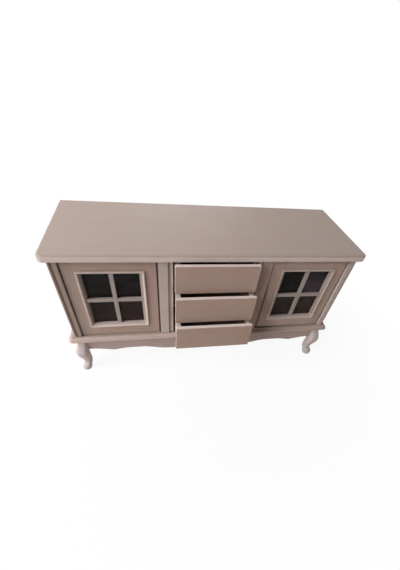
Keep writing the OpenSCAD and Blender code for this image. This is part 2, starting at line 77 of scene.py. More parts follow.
# the camera's place from the middle, from the front of the side panels and from the top
CAMERA_FROM = (-28.06 * MM, -108.01 * MM, 65.54 * MM)
# the floor keeps a faint shadow up to the first distance from the middle, and none from the second
FLOOR_NEAR, FLOOR_FAR = 85 * MM, 160 * MM
# vertices closer than this are joined
SEAM = 0.001 * MM
# edges sharper than this are eased
SHARP = math.radians(40)
# faces that meet at less than this are one flat face
FLAT = math.radians(0.5)
# the height of the square crown at the top of each leg
CROWN = 5.9 * MM
# the darker and the paler patches, as shares of the coat's red, green and blue
DARK_PATCH, PALE_PATCH = (0.97, 0.92, 0.905), (1.03, 1.065, 1.05)
# the room and the pale floor throw a slightly warm light
ROOM_TINT = (1, 0.85, 0.77, 1)
FLOOR_TINT = (0.8, 0.73, 0.68, 1)
# the near light is bluish, like light from the sky
SKY_TINT = (0.93, 1.0, 1.08)
WHITE = (1, 1, 1)
# how much painted reflection each light of a window shows, as a share of the usual amount, the upper pair
# and then the lower pair, each from left to right
PANE_REFLECTIONS = {"left": ((0.57, 0.63), (0.8, 1.3)), "right": ((0.25, 2.2), (0.9, 1.0))}


# ---------------------------------------------------------------- colours and nodes


def linear(code):
    """A linear RGB triple from an sRGB hex code such as #b09e97."""
    parts = [int(code[i : i + 2], 16) / 255 for i in (1, 3, 5)]
    return tuple(c / 12.92 if c <= 0.04045 else ((c + 0.055) / 1.055) ** 2.4 for c in parts)


def rgba(colour):
    """The colour with full opacity."""
    return (colour[0], colour[1], colour[2], 1.0)


def add(tree, kind, settings=None, **links):
    """Adds a node of that kind with its settings. A value is set on its input, and a socket is linked to it.

    An input that goes by its number is written with an underscore, as _0.
    """
    node = tree.nodes.new(kind)
    for key, value in (settings or {}).items():
        setattr(node, key, value)
    for key, value in links.items():
        name = int(key[1:]) if key[0] == "_" and key[1:].isdigit() else key.replace("_", " ")
        socket = node.inputs[name]
        if isinstance(value, bpy.types.NodeSocket):
            tree.links.new(value, socket)
        else:
            socket.default_value = value
    return node


def start_material(name):
    """A new material with only its output, or the one made before, without a tree."""
    material = bpy.data.materials.get(name)
    if material:
        return material, None, None
    material = bpy.data.materials.new(name)
    material.use_nodes = True
    tree = material.node_tree
    tree.nodes.clear()
    out = tree.nodes.new("ShaderNodeOutputMaterial")
    return material, tree, out


def stretched(along, across, run):
    """A scale for marks that are drawn out along one axis."""
    return tuple(run if axis == along else across for axis in "XYZ")


# ---------------------------------------------------------------- settings


class SideboardPaint(bpy.types.PropertyGroup):
    """Colours and texture of the paint."""

    frame_colour: FloatVectorProperty(
        name="Frame paint",
        description="Greige paint on the top, base and sides",
        subtype="COLOR", size=3, min=0, max=1, default=linear("#978880"),
    )
    # the partitions' own paler coat; on the top board's moulded edge, the right window's crest and the foot
    # and head of the mouldings it is painted light
    nose_colour: FloatVectorProperty(
        name="Nose wear",
        description="The paler coat on the edge of the top board, the partitions and the worn mouldings",
        subtype="COLOR", size=3, min=0, max=1, default=linear("#c0b2ac"),
    )
    leg_colour: FloatVectorProperty(
        name="Leg paint",
        description="The slightly paler coat on the carved legs",
        subtype="COLOR", size=3, min=0, max=1, default=linear("#b6abaa"),
    )
    apron_colour: FloatVectorProperty(
        name="Apron paint",
        description="Warmer greige on the shaped aprons",
        subtype="COLOR", size=3, min=0, max=1, default=linear("#a59590"),
    )
    # painted light on the base board's moulded edge, the right door's outer edge and a band at the head of
    # the mouldings
    soft_light_colour: FloatVectorProperty(
        name="Worn paint",
        description="Thinner coat on the base board's edge, the right door's edge and the mouldings' head",
        subtype="COLOR", size=3, min=0, max=1, default=linear("#a8948c"),
    )
    post_colour: FloatVectorProperty(
        name="Post paint", description="Greyer paint on the left inner stile and the right outer one",
        subtype="COLOR", size=3, min=0, max=1, default=linear("#aa9e98"),
    )
    door_colour: FloatVectorProperty(
        name="Door paint",
        description="Warmer taupe paint on the door frames",
        subtype="COLOR", size=3, min=0, max=1, default=linear("#9f8a80"),
    )
    # painted light: paler rails on the right-hand door, where less shade falls than on the left one
    lit_rail_colour: FloatVectorProperty(
        name="Rail paint", description="Paler taupe on the rails of the right-hand door",
        subtype="COLOR", size=3, min=0, max=1, default=linear("#a49089"),
    )
    # on the left outer stile and the left door's outer edge this darker paint is painted shade, for the side
    # panel's shadow
    moulding_colour: FloatVectorProperty(
        name="Moulding paint",
        description="Darker paint on the window mouldings and the left outer stile",
        subtype="COLOR", size=3, min=0, max=1, default=linear("#887a72"),
    )
    # on the left end of the top board's edge this greyer paint is painted shade, toning down its highlight
    bar_colour: FloatVectorProperty(
        name="Glazing bar paint",
        description="Greyer paint on the glazing bars and the left end of the top board",
        subtype="COLOR", size=3, min=0, max=1, default=linear("#928883"),
    )
    # on the right inner stile this warm, darker taupe is painted shade, for the drawers' shadow on it
    drawer_colour: FloatVectorProperty(
        name="Drawer paint",
        description="Warmest taupe paint on the drawer fronts and the right inner stile",
        subtype="COLOR", size=3, min=0, max=1, default=linear("#9e887d"),
    )
    # painted light: this pale coat lightens the drawer fronts' edges, the left window's crest and the
    # shadowed inner face of the left outer stile
    edge_light_colour: FloatVectorProperty(
        name="Rubbed edges",
        description="Pale undercoat that shows where the edges are rubbed",
        subtype="COLOR", size=3, min=0, max=1, default=linear("#c6b9b3"),
    )
    # painted shade: brown put into gaps, corners and strips that lie in shadow
    painted_shade_colour: FloatVectorProperty(
        name="Corner stain",
        description="Brown glaze that has gathered in the corners",
        subtype="COLOR", size=3, min=0, max=1, default=linear("#4e3a31"),
    )
    box_colour: FloatVectorProperty(
        name="Drawer wood",
        description="Thinly painted wood of the drawer sides and runners",
        subtype="COLOR", size=3, min=0, max=1, default=linear("#b3a398"),
    )
    # painted shade: the drawer bottoms, backs and inner faces are dark to stand for the shade inside the
    # drawers
    inside_shade_colour: FloatVectorProperty(
        name="Drawer inside",
        description="Dark stained wood of the drawer bottoms, backs and inner faces",
        subtype="COLOR", size=3, min=0, max=1, default=linear("#5c4a40"),
    )
    mottle_size: FloatProperty(
        name="Mottle size", description="Size of the soft uneven patches in the coat",
        unit="LENGTH", min=0.001, max=0.05, default=9 * MM,
    )
    brush_width: FloatProperty(
        name="Brush mark width", description="Width of one brush mark along a board",
        unit="LENGTH", min=0.0001, max=0.005, default=0.7 * MM,
    )
    edge_round: FloatProperty(
        name="Rounding of sawn edges", description="Width of the rubbed round on each edge",
        unit="LENGTH", min=0, max=0.0005, default=0.14 * MM,
    )


class SideboardGlass(bpy.types.PropertyGroup):
    """Look of the door panes."""

    # painted shade: the dark tint stands for the unlit cupboard seen through the panes
    tint: FloatVectorProperty(
        name="Tint", description="Colour that the panes give what lies behind them",
        subtype="COLOR", size=3, min=0, max=1, default=linear("#5a5553"),
    )
    haze: FloatProperty(
        name="Haze", description="Roughness of the panes", min=0, max=1, default=0.06
    )
    # painted reflection: the film is the room's reflection painted on the panes
    reflection_above: FloatVectorProperty(
        name="Film above", description="Colour of the film of dust at the head of the window",
        subtype="COLOR", size=3, min=0, max=1, default=linear("#6f7182"),
    )
    reflection_below: FloatVectorProperty(
        name="Film below", description="Colour of the film of dust at the foot of the window",
        subtype="COLOR", size=3, min=0, max=1, default=linear("#a3807c"),
    )
    reflection_share: FloatProperty(
        name="Film share", description="How much of the pane the film of dust covers",
        subtype="FACTOR", min=0, max=1, default=0.06,
    )


class SideboardStage(bpy.types.PropertyGroup):
    """Lights round the sideboard."""

    window_power: FloatProperty(
        name="Window light", description="Power of the large light far off on the front left, in watts",
        unit="POWER", min=0, max=100, default=11.0,
    )
    near_power: FloatProperty(
        name="Near light", description="Power of the low soft light close on the left, in watts",
        unit="POWER", min=0, max=100, default=0.69,
    )
    high_power: FloatProperty(
        name="High light", description="Power of the soft light above on the left, in watts",
        unit="POWER", min=0, max=100, default=1.34,
    )
    back_power: FloatProperty(
        name="Back light", description="Power of the soft light above and behind on the left, in watts",
        unit="POWER", min=0, max=100, default=0.55,
    )
    side_power: FloatProperty(
        name="Side light", description="Power of the low soft light on the right, in watts",
        unit="POWER", min=0, max=100, default=1.2,
    )
    rear_power: FloatProperty(
        name="Rear light", description="Power of the low soft light behind, in watts",
        unit="POWER", min=0, max=100, default=1.2,
    )
    room_strength: FloatProperty(
        name="Room light", description="Strength of the even light from all round",
        min=0, max=4, default=0.05,
    )


# ---------------------------------------------------------------- finishes


def near(tree, place, axis, at, half, soft):
    """A share that is 1 within half of a plane square to the axis, and 0 from half and soft outwards."""
    split = add(tree, "ShaderNodeSeparateXYZ", Vector=place)
    away = add(tree, "ShaderNodeMath", {"operation": "SUBTRACT"}, _0=split.outputs[axis], _1=at)
    away = add(tree, "ShaderNodeMath", {"operation": "ABSOLUTE"}, _0=away.outputs["Value"])
    return add(
        tree, "ShaderNodeMapRange", Value=away.outputs["Value"],
        From_Min=half + soft, From_Max=half, To_Min=0.0, To_Max=1.0,
    ).outputs["Result"]


def brushed_paint(name, colour, along, roughness=0.5, touches=()):
    """Satin eggshell paint brushed by hand on close-grained wood. The eye sees one quiet colour with soft
    uneven patches, faint drag marks along each board and a low, broad sheen. Each touch is a second colour,
    how much of it there is, and the planes near which it lies, such as painted light on an edge or painted
    shade in a corner."""
    material, tree, out = start_material(name)
    if tree is None:
        return material
    paint = bpy.context.scene.sideboard_paint
    place = add(tree, "ShaderNodeTexCoord").outputs["Object"]
    # patches some 9 mm across, where the coat lies thicker or thinner
    mottle = add(
        tree, "ShaderNodeTexNoise", Vector=place,
        Scale=1 / paint.mottle_size, Detail=3.0, Roughness=0.55,
    )
    # brush marks thirty times as long as they are wide, drawn coarser than real bristle marks so that
    # they show; the uprights were brushed last, and keep broader and plainer ones
    width, drag_share = (2 * paint.brush_width, 0.75) if along == "Z" else (paint.brush_width, 0.4)
    drag_scale = stretched(along, 1 / width, 1 / (30 * width))
    drag_place = add(tree, "ShaderNodeMapping", Vector=place, Scale=drag_scale)
    drag = add(
        tree, "ShaderNodeTexNoise", Vector=drag_place.outputs["Vector"],
        Scale=1.0, Detail=4.0, Roughness=0.6,
    )
    # grit and dust nibs about 0.35 mm apart in the dried film
    nib = add(tree, "ShaderNodeTexNoise", Vector=place, Scale=1 / (0.35 * MM), Detail=2.0, Roughness=0.5)
    tone = add(
        tree, "ShaderNodeMix", {"data_type": "FLOAT"}, Factor=drag_share,
        _2=mottle.outputs["Fac"], _3=drag.outputs["Fac"],
    )
    shade = add(tree, "ShaderNodeValToRGB", Fac=tone.outputs[0])
    ramp = shade.color_ramp
    ramp.elements[0].position = 0.3
    ramp.elements[0].color = rgba([c * k for c, k in zip(colour, DARK_PATCH)])
    ramp.elements[1].position = 0.7
    ramp.elements[1].color = rgba([min(1.0, c * k) for c, k in zip(colour, PALE_PATCH)])
    coat_colour = shade.outputs["Color"]
    for tint, amount, planes in touches:
        # the touch is as uneven as the coat
        share = add(
            tree, "ShaderNodeMapRange", Value=tone.outputs[0],
            From_Min=0.35, From_Max=0.65, To_Min=0.8 * amount, To_Max=amount,
        ).outputs["Result"]
        for plane in planes:
            share = add(
                tree, "ShaderNodeMath", {"operation": "MULTIPLY"}, _0=share, _1=near(tree, place, *plane)
            ).outputs["Value"]
        coat_colour = add(
            tree, "ShaderNodeMix", {"data_type": "RGBA"}, Factor=share, _6=coat_colour, _7=rgba(tint)
        ).outputs[2]
    sheen = add(
        tree, "ShaderNodeMapRange", Value=mottle.outputs["Fac"],
        From_Min=0.3, From_Max=0.7, To_Min=roughness - 0.06, To_Max=roughness + 0.06,
    )
    film = add(
        tree, "ShaderNodeBump", Strength=0.35, Distance=0.03 * MM, Height=drag.outputs["Fac"]
    )
    nibs = add(
        tree, "ShaderNodeBump", Strength=0.2, Distance=0.02 * MM,
        Height=nib.outputs["Fac"], Normal=film.outputs["Normal"],
    )
    surface = add(
        tree, "ShaderNodeBsdfPrincipled", Base_Color=coat_colour,
        Roughness=sheen.outputs["Result"], IOR=1.5, Normal=nibs.outputs["Normal"],
    )
    surface.inputs["Specular IOR Level"].default_value = 0.15
    tree.links.new(surface.outputs["BSDF"], out.inputs["Surface"])
    return material


def washed_wood(name, colour, along, touches=()):
    """Lime or basswood under one thin wash of paint. The eye sees fine straight grain through a dull coat."""
    material, tree, out = start_material(name)
    if tree is None:
        return material
    place = add(tree, "ShaderNodeTexCoord").outputs["Object"]
    # growth lines about 0.9 mm apart, drawn three times too coarse so that they show
    grain_scale = stretched(along, 1 / (0.9 * MM), 1 / (25 * MM))
    grain_place = add(tree, "ShaderNodeMapping", Vector=place, Scale=grain_scale)
    grain = add(
        tree, "ShaderNodeTexNoise", Vector=grain_place.outputs["Vector"],
        Scale=1.0, Detail=5.0, Roughness=0.65, Distortion=0.3,
    )
    shade = add(tree, "ShaderNodeValToRGB", Fac=grain.outputs["Fac"])
    ramp = shade.color_ramp
    ramp.elements[0].position = 0.32
    ramp.elements[0].color = rgba([c * 0.84 for c in colour])
    ramp.elements[1].position = 0.66
    ramp.elements[1].color = rgba(colour)
    coat_colour = shade.outputs["Color"]
    for tint, amount, (plane,) in touches:
        share = add(
            tree, "ShaderNodeMath", {"operation": "MULTIPLY"}, _0=near(tree, place, *plane), _1=amount
        ).outputs["Value"]
        coat_colour = add(
            tree, "ShaderNodeMix", {"data_type": "RGBA"}, Factor=share, _6=coat_colour, _7=rgba(tint)
        ).outputs[2]
    relief = add(
        tree, "ShaderNodeBump", Strength=0.3, Distance=0.03 * MM, Height=grain.outputs["Fac"]
    )
    surface = add(
        tree, "ShaderNodeBsdfPrincipled", Base_Color=coat_colour,
        Roughness=0.65, IOR=1.5, Normal=relief.outputs["Normal"],
    )
    surface.inputs["Specular IOR Level"].default_value = 0.3
    tree.links.new(surface.outputs["BSDF"], out.inputs["Surface"])
    return material


def pane_glass(side, reflection_rows):
    """Thin acrylic sheet, tinted dark as painted shade for the unlit cupboard behind it. The eye sees the
    dark cupboard through it and a weak reflection.

    reflection_rows gives the painted reflection on the lights above and below the crossbar, each as (left,
    right).
    """
    material, tree, out = start_material("shade_tinted_acrylic_pane_" + side)
    if tree is None:
        return material
    look = bpy.context.scene.sideboard_glass
    place = add(tree, "ShaderNodeTexCoord").outputs["Object"]
    # the sheet is out of true by a few hundredths over 12 mm
    wave = add(tree, "ShaderNodeTexNoise", Vector=place, Scale=1 / (12 * MM), Detail=1.0)
    bend = add(
        tree, "ShaderNodeBump", Strength=0.25, Distance=0.05 * MM, Height=wave.outputs["Fac"]
    )
    surface = add(
        tree, "ShaderNodeBsdfPrincipled", Base_Color=rgba(look.tint), Roughness=look.haze,
        IOR=1.25, Transmission_Weight=1.0, Normal=bend.outputs["Normal"],
    )
    surface.inputs["Specular IOR Level"].default_value = 0.2
    surface.inputs["Specular Tint"].default_value = (0.5, 0.5, 0.5, 1)
    # a thin layer of painted reflection, bluish at the head of the window and warmer at its foot
    low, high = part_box("glass_" + side)
    spot = add(tree, "ShaderNodeSeparateXYZ", Vector=place).outputs
    sink = add(
        tree, "ShaderNodeMapRange", Value=spot["Z"],
        From_Min=high.z, From_Max=low.z, To_Min=0.0, To_Max=1.0,
    ).outputs["Result"]
    smear = add(tree, "ShaderNodeTexNoise", Vector=place, Scale=1 / (15 * MM), Detail=3.0)
    film = add(
        tree, "ShaderNodeMix", {"data_type": "RGBA"}, Factor=sink,
        _6=rgba(look.reflection_above), _7=rgba(look.reflection_below),
    ).outputs[2]
    glare = add(tree, "ShaderNodeBsdfDiffuse", Color=film)
    thick = add(
        tree, "ShaderNodeMapRange", Value=smear.outputs["Fac"],
        From_Min=0.35, From_Max=0.65, To_Min=0.5 * look.reflection_share, To_Max=1.5 * look.reflection_share,
    ).outputs["Result"]
    # the painted reflection differs from light to light, so it changes behind the bars
    middle = (low + high) / 2
    rows = [
        add(
            tree, "ShaderNodeMapRange", Value=spot["X"],
            From_Min=middle.x - MM, From_Max=middle.x + MM, To_Min=row[0], To_Max=row[1],
        ).outputs["Result"]
        for row in reflection_rows
    ]
    foot = add(
        tree, "ShaderNodeMapRange", Value=spot["Z"],
        From_Min=middle.z + MM, From_Max=middle.z - MM, To_Min=0.0, To_Max=1.0,
    ).outputs["Result"]
    reflection_amount = add(tree, "ShaderNodeMix", {"data_type": "FLOAT"}, Factor=foot, _2=rows[0], _3=rows[1])
    reflection_share = add(
        tree, "ShaderNodeMath", {"operation": "MULTIPLY"}, _0=thick, _1=reflection_amount.outputs[0]
    )
    pane = add(
        tree, "ShaderNodeMixShader", Fac=reflection_share.outputs["Value"],
        _1=surface.outputs["BSDF"], _2=glare.outputs["BSDF"],
    )
    tree.links.new(pane.outputs["Shader"], out.inputs["Surface"])
    return material


def drawn_wire():
    """Bright drawn steel wire. The eye sees a grey metal with fine lines along it."""
    material, tree, out = start_material("drawn_steel_wire")
    if tree is None:
        return material
    place = add(tree, "ShaderNodeTexCoord").outputs["Object"]
    # die lines 0.1 mm apart, running up the wire
    lines_scale = stretched("Z", 1 / (0.1 * MM), 1 / (3 * MM))
    lines_place = add(tree, "ShaderNodeMapping", Vector=place, Scale=lines_scale)
    lines = add(
        tree, "ShaderNodeTexNoise", Vector=lines_place.outputs["Vector"], Scale=1.0, Detail=2.0
    )
    shade = add(
        tree, "ShaderNodeMapRange", Value=lines.outputs["Fac"],
        From_Min=0.3, From_Max=0.7, To_Min=0.28, To_Max=0.42,
    )
    surface = add(
        tree, "ShaderNodeBsdfPrincipled", Base_Color=rgba(linear("#a3a3a6")),
        Metallic=1.0, Roughness=shade.outputs["Result"],
    )
    tree.links.new(surface.outputs["BSDF"], out.inputs["Surface"])
    return material


def white_floor():
    """Matt white that stays white to the eye and keeps a faint shadow near the sideboard."""
    material, tree, out = start_material("matt_white_floor")
    if tree is None:
        return material
    paper = add(tree, "ShaderNodeBsdfDiffuse", Color=FLOOR_TINT)
    glow = add(tree, "ShaderNodeEmission", Color=rgba(WHITE), Strength=1.0)
    place = add(tree, "ShaderNodeTexCoord").outputs["Object"]
    reach = add(tree, "ShaderNodeVectorMath", {"operation": "LENGTH"}, _0=place)
    share = add(
        tree, "ShaderNodeMapRange", Value=reach.outputs["Value"],
        From_Min=FLOOR_NEAR, From_Max=FLOOR_FAR, To_Min=0.92, To_Max=1.0,
    )
    shown = add(
        tree, "ShaderNodeMixShader", Fac=share.outputs["Result"],
        _1=paper.outputs["BSDF"], _2=glow.outputs["Emission"],
    )
    ray = add(tree, "ShaderNodeLightPath")
    choice = add(
        tree, "ShaderNodeMixShader", Fac=ray.outputs["Is Camera Ray"],
        _1=paper.outputs["BSDF"], _2=shown.outputs["Shader"],
    )
    tree.links.new(choice.outputs["Shader"], out.inputs["Surface"])
    return material


def frame_paint(along):
    """The frame's greige paint, brushed along one axis."""
    colour = bpy.context.scene.sideboard_paint.frame_colour
    return brushed_paint("greige_eggshell_along_" + along, colour, along)


def board_paint(node, face_depth, edge_light_colour):
    """The frame's paint, with painted light on the moulded edge below the flat face, which catches more
    light.
    """
    paint = bpy.context.scene.sideboard_paint
    low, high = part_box(node)
    # the painted light reaches from the foot of the board up to face_depth below its top
    touches = [(edge_light_colour, 1.0, (("Z", low.z, high.z - low.z - face_depth, 0.5 * face_depth),))]
    if node == "top_board":
        # painted shade: the left end of the edge is greyed to tone down the light it catches
        end = (("X", low.x, 1.2 * MM, 1.0 * MM), ("Z", low.z, 2.6 * MM, 0.8 * MM))
        touches.append((paint.bar_colour, 0.9, end))
    return brushed_paint("greige_eggshell_on_" + node, paint.frame_colour, "X", touches=touches)


def closing_gap_shade():
    """Brown painted shade in the gap where the left door closes against its post."""
    paint = bpy.context.scene.sideboard_paint
    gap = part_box("door_left_inner_stile")[1].x + 0.25 * MM
    return (paint.painted_shade_colour, 0.9, (("X", gap, 0.3 * MM, 0.25 * MM),))


def upright_paint(node, colour, line_at, line_half, lit_face_at=None, more=()):
    """Paint with a line of brown painted shade down the front and, if lit_face_at is given, a painted
    highlight on the face there.
    """
    paint = bpy.context.scene.sideboard_paint
    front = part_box(node)[0].y
    # the line is painted shade, in a corner or where a proud edge casts its shadow
    line = (("X", line_at, line_half, 0.15 * MM), ("Y", front, 0.7 * MM, 0.2 * MM))
    touches = [(paint.painted_shade_colour, 1.0, line)]
    # painted light on a face that lies in shade
    if lit_face_at is not None:
        touches.append((paint.edge_light_colour, 1.0, (("X", lit_face_at, 0.12 * MM, 0.05 * MM),)))
    return brushed_paint(node + "_eggshell", colour, "Z", touches=touches + list(more))


def painted_drawer_shadow(side):
    """Brown painted shadow of the drawers, low down in the corner between the inner stile and the door."""
    paint = bpy.context.scene.sideboard_paint
    low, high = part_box("inner_stile_" + side)
    corner = low.x if side == "left" else high.x
    return (
        paint.painted_shade_colour, 0.85,
        (("X", corner, 0.45 * MM, 0.3 * MM), ("Z", low.z, 26 * MM, 10 * MM)),
    )


def door_paint(side, along):
    """Taupe paint, with painted shade at the outer edge of the left door and painted light at that of the
    right one.
    """
    paint = bpy.context.scene.sideboard_paint
    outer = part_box("door_" + side + "_outer_stile")
    edge = outer[0].x if side == "left" else outer[1].x
    # the right door's rails take the paler painted light
    colour = paint.lit_rail_colour if side == "right" and along == "X" else paint.door_colour
    if side == "left":
        # painted shade at the outer edge, for the side panel's shadow, and in the gap at the post
        touches = [
            (paint.moulding_colour, 0.7, (("X", edge, 3.5 * MM, 2.5 * MM),)), closing_gap_shade()
        ]
    else:
        # painted light at the outer edge, and the drawers' painted shadow low by the inner stile
        touches = [(paint.soft_light_colour, 0.3, (("X", edge, 0.9 * MM, 0.9 * MM),)), painted_drawer_shadow(side)]
    return brushed_paint(
        "taupe_eggshell_" + side + "_along_" + along, colour, along, touches=touches
    )


def moulding_paint(side):
    """Darker paint, with painted light on the crest and along the head and foot of the window, where light
    catches them.
    """
    paint = bpy.context.scene.sideboard_paint
    low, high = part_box("window_moulding_" + side)
    crest, colour = (0.85, paint.edge_light_colour) if side == "left" else (0.6, paint.nose_colour)
    # the crest's pale band is painted light, stronger on the left window
    rubbed = (colour, crest, (("Y", low.y, 0.15 * MM, 0.3 * MM),))
    # painted light on the upward-facing foot, and on a band and a line at the head
    foot = (paint.nose_colour, 0.5, (("Z", low.z, 1.8 * MM, 0.3 * MM),))
    brow = (paint.soft_light_colour, 0.6, (("Z", high.z - 0.9 * MM, 0.2 * MM, 0.05 * MM),))
    head = (paint.nose_colour, 0.9, (("Z", high.z - 0.65 * MM, 0.03 * MM, 0.05 * MM),))
    return brushed_paint(
        "moulding_eggshell_" + side, paint.moulding_colour, "X", touches=(foot, rubbed, brow, head)
    )


def bar_paint():
    """The glazing bars' greyer paint."""
    return brushed_paint("bar_eggshell", bpy.context.scene.sideboard_paint.bar_colour, "X")


def drawer_paint(level):
    """Warm taupe on the face, with painted light on the edges of the board, which catch light from above and
    the left.
    """
    paint = bpy.context.scene.sideboard_paint
    low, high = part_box(level + "_drawer_front")
    edge_light = (paint.edge_light_colour, 1.0, (("Y", high.y, high.y - low.y - 0.35 * MM, 0.15 * MM),))
    return brushed_paint("warm_taupe_eggshell_" + level, paint.drawer_colour, "X", touches=(edge_light,))


# ---------------------------------------------------------------- helpers for pieces


def coat(node, paint):
    """Gives a CAD node its paint."""
    slots = NODES[node].data.materials
    slots.clear()
    slots.append(paint)


def ease(piece, name, width):
    """Rounds a piece's sharp edges with a modifier."""
    bevel = piece.modifiers.new(name, "BEVEL")
    bevel.width = width
    bevel.segments = 2
    bevel.limit_method = "ANGLE"
    bevel.angle_limit = SHARP


def finish_nodes(names, paint, width=None):
    """Paints CAD nodes, joins their loose triangles and rounds their sawn edges."""
    width = bpy.context.scene.sideboard_paint.edge_round if width is None else width
    for name in names:
        coat(name, paint)
        weld = NODES[name].modifiers.new("weld", "WELD")
        weld.merge_threshold = SEAM
        ease(NODES[name], "rubbed edge", width)


def joined(node):
    """A bmesh of a CAD node with its triangles joined and its flat faces whole."""
    shape = bmesh.new()
    shape.from_mesh(NODES[node].data)
    bmesh.ops.remove_doubles(shape, verts=shape.verts[:], dist=SEAM)
    bmesh.ops.dissolve_limit(shape, angle_limit=FLAT, verts=shape.verts[:], edges=shape.edges[:])
    return shape


def new_piece(shape, name, paint):
    """Makes a painted object of a bmesh, which is freed."""
    mesh = bpy.data.meshes.new(name)
    shape.to_mesh(mesh)
    shape.free()
    mesh.materials.append(paint)
    piece = bpy.data.objects.new(name, mesh)
    bpy.context.scene.collection.objects.link(piece)
    return piece


# ---------------------------------------------------------------- operators


class SIDEBOARD_OT_boards(bpy.types.Operator):
    """Paints the top board and the base board along their length"""

    bl_idname = "sideboard.boards"
    bl_label = "Top and base boards"

    def execute(self, context):
        paint = context.scene.sideboard_paint
        for node, depth, edge in (
            ("top_board", 1.0 * MM, paint.nose_colour), ("base_board", 0.5 * MM, paint.soft_light_colour)
        ):
            finish_nodes([node], board_paint(node, depth, edge))
        return {"FINISHED"}


class SIDEBOARD_OT_carcass(bpy.types.Operator):
    """Paints the side panels, partitions and back panel"""

    bl_idname = "sideboard.carcass"
    bl_label = "Carcass panels"

    def execute(self, context):
        paint = context.scene.sideboard_paint
        for side in SIDES:
            # painted shade lies in the corner between an upright and the stile lapped over its front edge,
            # except on the right side panel, whose front edge has painted light instead
            panel, partition = "side_panel_" + side, "partition_" + side
            low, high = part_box("inner_stile_" + side)
            if side == "left":
                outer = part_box("outer_stile_left")[0].x + 0.15 * MM
                panel_paint = upright_paint(panel, paint.frame_colour, outer, 0.65 * MM)
                # the line is a painted shadow where the inner stile's edge shades the partition
                partition_paint = upright_paint(partition, paint.nose_colour, high.x, 0.1 * MM)
            else:
                # painted light on the right side panel's front edge, which faces the light
                lit = (paint.post_colour, 1.0, (("Y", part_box(panel)[0].y, 0.5 * MM, 0.3 * MM),))
                panel_paint = brushed_paint(panel + "_eggshell", paint.frame_colour, "Z", touches=(lit,))
                # the line is painted shade beside the drawers
                partition_paint = upright_paint(partition, paint.nose_colour, low.x, 0.3 * MM)
            finish_nodes([panel], panel_paint)
            finish_nodes([partition], partition_paint)
        finish_nodes(["back_panel"], frame_paint("X"))
        return {"FINISHED"}


class SIDEBOARD_OT_stiles(bpy.types.Operator):
    """Paints the four stiles that stand forward of the doors"""

    bl_idname = "sideboard.stiles"
    bl_label = "Stiles"

    def execute(self, context):
        paint = context.scene.sideboard_paint
        for side in SIDES:
            outer, inner = "outer_stile_" + side, "inner_stile_" + side
            if side == "left":
                low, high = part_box(outer)
                # the left outer stile is painted darker as painted shade, for the side panel's shadow, with a
                # painted shade line and painted light on its shaded inner face
                outer_paint = upright_paint(
                    outer, paint.moulding_colour, low.x + 0.15 * MM, 0.65 * MM, lit_face_at=high.x
                )
                # a painted shadow line along the inner stile's right edge
                line_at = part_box(inner)[1].x - 0.4 * MM
                inner_paint = upright_paint(
                    inner, paint.post_colour, line_at, 0.2 * MM, more=(closing_gap_shade(),)
                )
            else:
                outer_paint = brushed_paint("pale_eggshell_outer_stile", paint.post_colour, "Z")
                # the right inner stile's warm, darker paint and the drawers' painted shadow stand in for
                # shade
                inner_paint = brushed_paint(
                    "shaded_warm_eggshell_inner_stile", paint.drawer_colour, "Z", touches=(painted_drawer_shadow(side),)
                )
            finish_nodes([outer], outer_paint)
            finish_nodes([inner], inner_paint)
        return {"FINISHED"}


class SIDEBOARD_OT_aprons(bpy.types.Operator):
    """Paints the shaped aprons and the plain back rail"""

    bl_idname = "sideboard.aprons"
    bl_label = "Aprons"

    def execute(self, context):
        colour = context.scene.sideboard_paint.apron_colour
        for names, along in ((("apron_front", "back_rail"), "X"), (("apron_left", "apron_right"), "Y")):
            finish_nodes(names, brushed_paint("apron_eggshell_along_" + along, colour, along))
        return {"FINISHED"}


class SIDEBOARD_OT_legs(bpy.types.Operator):
    """Makes the four cabriole legs, smoothed from their CAD solids"""

    bl_idname = "sideboard.legs"
    bl_label = "Cabriole legs"

    def execute(self, context):
        paint = context.scene.sideboard_paint
        for place in ("front_left", "front_right", "back_left", "back_right"):
            node = "leg_" + place
            shape = joined(node)
            bmesh.ops.join_triangles(
                shape, faces=[f for f in shape.faces if len(f.verts) == 3],
                angle_face_threshold=math.radians(40), angle_shape_threshold=math.radians(60),
            )
            crease = shape.edges.layers.float.new("crease_edge")
            crown_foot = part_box(node)[1].z - CROWN
            for edge in shape.edges:
                # the crown keeps its full size against the base board
                if len(edge.link_faces) == 2 and edge.calc_face_angle() > math.radians(50):
                    edge[crease] = 1.0 if edge.verts[0].co.z > crown_foot else 0.35
            for face in shape.faces:
                face.smooth = len(face.verts) <= 4
            leg = new_piece(shape, "carved_" + node, brushed_paint("leg_eggshell", paint.leg_colour, "Z"))
            smooth = leg.modifiers.new("smooth", "SUBSURF")
            smooth.levels = smooth.render_levels = 2
            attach(leg, "carcass")
            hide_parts(node)
        return {"FINISHED"}


class SIDEBOARD_OT_doors(bpy.types.Operator):
    """Paints the stiles and rails of both doors"""

    bl_idname = "sideboard.doors"
    bl_label = "Door frames"

    def execute(self, context):
        for side in SIDES:
            start = "door_" + side + "_"
            for parts, along in ((("outer_stile", "inner_stile"), "Z"), (("top_rail", "bottom_rail"), "X")):
                names = [start + part for part in parts]
                finish_nodes(names, door_paint(side, along), width=0.04 * MM)
        return {"FINISHED"}


